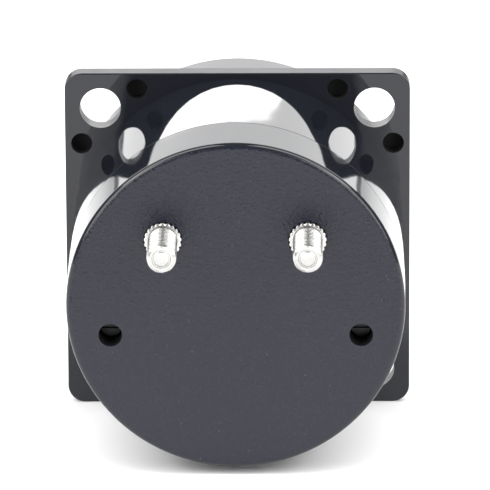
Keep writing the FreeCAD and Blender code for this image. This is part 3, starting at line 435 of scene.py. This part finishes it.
def grid_faces(rows, columns, start=0):
    """Quads of a tube of rows, each a closed ring of columns."""
    return [
        (start + r * columns + c, start + r * columns + (c + 1) % columns,
         start + (r + 1) * columns + (c + 1) % columns, start + (r + 1) * columns + c)
        for r in range(rows - 1) for c in range(columns)
    ]


# The studs' M5 thread, and how many columns of points stand round it.
THREAD = {"radius": 2.5, "depth": 0.46, "pitch": 0.8, "chamfer": 0.45, "columns": 72}
# One pitch of the thread's outline: how far along, and how far below the crest as a share.
THREAD_OUTLINE = ((0.0, 0.06), (0.04, 0.0), (0.10, 0.0), (0.14, 0.06), (0.26, 0.5), (0.40, 0.96),
                  (0.45, 1.0), (0.55, 1.0), (0.60, 0.96), (0.74, 0.5), (0.90, 0.12))


def threaded_rod(low, high):
    """Vertices and faces of a right-hand threaded rod from station low to station high."""
    columns = THREAD["columns"]
    pitch = THREAD["pitch"]
    offsets = []
    turns = int((high - low) / pitch) + 3
    for turn in range(-1, turns):
        offsets += [((turn + along) * pitch, share) for along, share in THREAD_OUTLINE]
    vertices = []
    for offset, share in offsets:
        for c in range(columns):
            angle = 2 * math.pi * c / columns
            y = low + offset - pitch * c / columns
            y = min(max(y, low), high)
            envelope = THREAD["radius"] - THREAD["chamfer"] + min(y - low, high - y)
            radius = min(THREAD["radius"] - THREAD["depth"] * share, envelope)
            vertices.append((radius * math.sin(angle), y, radius * math.cos(angle)))
    rows = len(offsets)
    # A turn ends one pitch from where it starts, so the last column meets rows a pitch back.
    step = len(THREAD_OUTLINE)
    faces = []
    for r in range(rows - 1):
        for c in range(columns - 1):
            a = r * columns + c
            faces.append((a, a + 1, a + columns + 1, a + columns))
        if r - step >= 0:
            a, b = r * columns + columns - 1, (r - step) * columns
            faces.append((a, b, b + columns, a + columns))
    return vertices, faces


# The stud's turned tip, from the chamfer inwards: radius and depth below the end station.
TIP_OUTLINE = ((2.05, 0.0), (1.62, 0.0), (1.52, 0.14), (1.34, 0.14), (1.20, 0.02))


def capped(vertices, faces, low, high):
    """Close both ends of the rod: a turned ring on the tip, a plain fan inside."""
    mesh_vertices, mesh_faces = list(vertices), list(faces)
    columns = THREAD["columns"]
    for end, inward, outline in ((low, 1, TIP_OUTLINE), (high, -1, TIP_OUTLINE[:1])):
        start = len(mesh_vertices)
        for radius, depth in outline:
            for c in range(columns):
                angle = 2 * math.pi * c / columns
                mesh_vertices.append((radius * math.sin(angle), end + inward * depth,
                                      radius * math.cos(angle)))
        mesh_faces += grid_faces(len(outline), columns, start)
        centre = len(mesh_vertices)
        last = centre - columns
        mesh_vertices.append((0.0, end + inward * outline[-1][1], 0.0))
        mesh_faces += [(centre, last + c, last + (c + 1) % columns) for c in range(columns)]
    return mesh_vertices, mesh_faces


def knurled_collar(start):
    """The collar moulded into the cover: rounded teeth, a chamfered front edge, a shoulder."""
    teeth, per_tooth = 21, 10
    columns = teeth * per_tooth
    inner = THREAD["radius"] - THREAD["depth"] - 0.1
    crest, shoulder = 3.25, 4.45
    front = REAR_FACE - 0.5
    outline = [(inner, front), (2.62, front), (3.02, front + 0.02), (3.16, front + 0.10),
               (crest, front + 0.28), (crest, COVER_INSIDE), (shoulder, COVER_INSIDE),
               (shoulder, STUD_SHOULDER), (inner, STUD_SHOULDER)]
    vertices = []
    for radius, y in outline:
        for c in range(columns):
            angle = 2 * math.pi * c / columns
            shape = abs(math.cos(math.pi * c / per_tooth)) ** 0.8
            toothed = 2.9 < radius < shoulder
            r = radius - 0.26 * (1.0 - shape) if toothed else radius
            vertices.append((r * math.sin(angle), y, r * math.cos(angle)))
    faces = grid_faces(len(outline), columns, start)
    last = (len(outline) - 1) * columns
    faces += [(start + last + c, start + last + (c + 1) % columns,
               start + (c + 1) % columns, start + c) for c in range(columns)]
    return vertices, faces


def terminal_stud(name, x):
    """A terminal stud: its threaded rod and the knurled collar that holds it in the cover."""
    vertices, faces = capped(*threaded_rod(STUD_TIP, STUD_END), STUD_TIP, STUD_END)
    more_vertices, more_faces = knurled_collar(len(vertices))
    vertices = [(x + v[0], v[1], STUD_Z + v[2]) for v in vertices + more_vertices]
    return new_piece(name, mesh_of(name, vertices, faces + more_faces), "case", "nickel_plate")


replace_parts(terminal_stud("positive_stud_thread", STUD_X), "positive_stud")
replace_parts(terminal_stud("negative_stud_thread", -STUD_X), "negative_stud")


# ---------------------------------------------------------------- dial markings

INK = 0.03
SWEEP = 45.0
ARC_LOW, ARC_HIGH = 21.6, 21.9
DIVISIONS = 30
# A mark's outer radius and half its width, at every tenth, every fifth and every division.
MARKS = {10: (24.3, 0.17), 5: (23.5, 0.12), 1: (23.0, 0.085)}
NUMBER_SIZE, NUMBER_RADIUS = 3.6, 26.0


def dial_point(radius, degrees, y=0.0):
    """A point on the dial: degrees from upright, positive towards the zero end at +X."""
    angle = math.radians(degrees)
    return (radius * math.sin(angle), DIAL_FRONT + y, PIVOT_Z + radius * math.cos(angle))


def printed_band(points_in, points_out):
    """A thin raised strip between two lines of (radius, degrees) points."""
    vertices, faces = [], []
    for (r_in, a_in), (r_out, a_out) in zip(points_in, points_out):
        for y in (0.0, INK):
            vertices += [dial_point(r_in, a_in, y), dial_point(r_out, a_out, y)]
    for k in range(len(points_in) - 1):
        a, b = 4 * k, 4 * (k + 1)
        faces += [(a, a + 1, b + 1, b), (a + 2, b + 2, b + 3, a + 3),
                  (a, b, b + 2, a + 2), (a + 1, a + 3, b + 3, b + 1)]
    end = 4 * (len(points_in) - 1)
    faces += [(0, 2, 3, 1), (end, end + 1, end + 3, end + 2)]
    return vertices, faces


def join_parts(parts):
    """The vertices and faces of several parts as one list of each."""
    vertices, faces = [], []
    for part_vertices, part_faces in parts:
        start = len(vertices)
        vertices += part_vertices
        faces += [tuple(start + i for i in face) for face in part_faces]
    return vertices, faces


def sweep_angle(step, steps):
    """The scale's angle at one of its steps, from the zero end to full scale."""
    return SWEEP - 2 * SWEEP * step / steps


def scale_mark(division):
    """The short line at a division, sunk a little into the arc."""
    reach, half = next(size for every, size in MARKS.items() if division % every == 0)
    at, foot = sweep_angle(division, DIVISIONS), ARC_HIGH - 0.02
    low, high = math.degrees(half / ARC_HIGH), math.degrees(half / reach)
    return printed_band([(foot, at - low), (foot, at + low)],
                        [(reach, at - high), (reach, at + high)])


ARC_STEPS = 90
arc = [sweep_angle(i, ARC_STEPS) for i in range(ARC_STEPS + 1)]
marks = [printed_band([(ARC_LOW, a) for a in arc], [(ARC_HIGH, a) for a in arc])]
marks += [scale_mark(division) for division in range(DIVISIONS + 1)]
new_piece("dial_scale", mesh_of("dial_scale", *join_parts(marks), smooth=False), "case",
          "pointer_black")


def printed_number(text, degrees):
    """A raised number on the dial, at an angle of the scale."""
    curve = bpy.data.curves.new(f"number_{text}", "FONT")
    curve.body = text
    curve.size = NUMBER_SIZE * MM
    curve.align_x, curve.align_y = "CENTER", "CENTER"
    curve.extrude = INK / 2 * MM
    maker = bpy.data.objects.new(f"number_maker_{text}", curve)
    scene.collection.objects.link(maker)
    bpy.context.view_layer.update()
    mesh = bpy.data.meshes.new_from_object(
        maker.evaluated_get(bpy.context.evaluated_depsgraph_get()))
    bpy.data.objects.remove(maker)
    # The number's own right, up and front become -X, +Z and +Y, so it reads from the front.
    turn = Matrix(((-1, 0, 0), (0, 0, 1), (0, 1, 0))).to_4x4()
    place = Vector(dial_point(NUMBER_RADIUS, degrees, INK / 2)) * MM
    mesh.transform(Matrix.Translation(place) @ turn)
    mesh.materials.clear()
    new_piece(f"dial_number_{text}", mesh, "case", "pointer_black")


for division in range(0, DIVISIONS + 1, 10):
    printed_number(str(division), sweep_angle(division, DIVISIONS))


# ---------------------------------------------------------------- studio

FLOOR_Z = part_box("case_body")[0].z


def flat_sheet(name, half):
    """A square sheet on the floor, half its side given in metres."""
    mesh = bpy.data.meshes.new(name)
    mesh.from_pydata([(-half, -half, FLOOR_Z), (half, -half, FLOOR_Z),
                      (half, half, FLOOR_Z), (-half, half, FLOOR_Z)], [], [(0, 1, 2, 3)])
    sheet = bpy.data.objects.new(name, mesh)
    scene.collection.objects.link(sheet)
    mesh.materials.append(paper("studio_floor_paper"))
    return sheet


flat_sheet("studio_floor", 4.0)


def aim(thing, target):
    """Turn a lamp or the camera to look at the target."""
    thing.rotation_euler = (thing.location - Vector(target)).to_track_quat("Z", "Y").to_euler()


def softbox(name, place, target, width, height, power):
    """A soft lamp, in metres and watts."""
    light = bpy.data.lights.new(name, "AREA")
    light.shape = "RECTANGLE"
    light.size, light.size_y, light.energy = width, height, power
    lamp = bpy.data.objects.new(name, light)
    lamp.location = place
    aim(lamp, target)
    scene.collection.objects.link(lamp)
    return lamp


softbox("overhead_left", (-0.7, -0.15, 1.2), (0, 0, 0), 0.8, 1.2, 15.0)
softbox("overhead_right", (0.7, -0.15, 1.2), (0, 0, 0), 0.8, 1.2, 15.0)
softbox("front_left", (-1.05, -0.8, 0.65), (0, 0, 0), 1.1, 1.0, 15.0)
softbox("front_right", (1.05, -0.8, 0.65), (0, 0, 0), 1.1, 1.0, 15.0)
softbox("back_wall", (0.0, 2.2, 0.75), (0, 0, 0.1), 3.2, 1.5, 28.0)
# A small oval lamp behind, which the barrel's polished top mirrors as a white patch.
STRIP_X, STRIP_Z = -0.0176, 0.0705
strip = softbox("back_strip", (STRIP_X, 0.25, STRIP_Z), (STRIP_X, 0, STRIP_Z),
                0.1395, 0.0804, 0.075)
strip.data.shape = "ELLIPSE"
strip.rotation_euler.rotate_axis("Z", math.radians(-11.6))
strip.visible_camera = False
# The strip lights the barrel and leaves the drum in front of the flange alone.
spared = bpy.data.collections.new("spared_by_strip")
spared.objects.link(nodes["bezel_ring"])
strip.light_linking.receiver_collection = spared
spared.collection_objects[0].light_linking.link_state = "EXCLUDE"

world = bpy.data.worlds.new("studio")
world.use_nodes = True
scene.world = world
background = world.node_tree.nodes["Background"]
background.inputs["Color"].default_value = (1.0, 1.0, 1.0, 1.0)
background.inputs["Strength"].default_value = 0.35
scene.view_settings.view_transform = "Standard"

# The camera: a long lens behind the meter, 17 degrees above its axis, almost square to it.
distance, height_angle, side = 1078.5, math.radians(17.08), 0.01208
camera_data = bpy.data.cameras.new("camera")
camera_data.sensor_width = 36.0
camera_data.lens = 453.4
camera_data.shift_x, camera_data.shift_y = 0.0143, -0.0128
camera_data.clip_start, camera_data.clip_end = 0.05, 20.0
camera = bpy.data.objects.new("camera", camera_data)
scene.collection.objects.link(camera)
camera.location = Vector((side * distance * math.cos(height_angle),
                          FLANGE_REAR - distance * math.cos(height_angle),
                          distance * math.sin(height_angle))) * MM
aim(camera, (0, FLANGE_REAR * MM, 0))
camera.rotation_euler.rotate_axis("Z", math.radians(-0.3))
scene.camera = camera
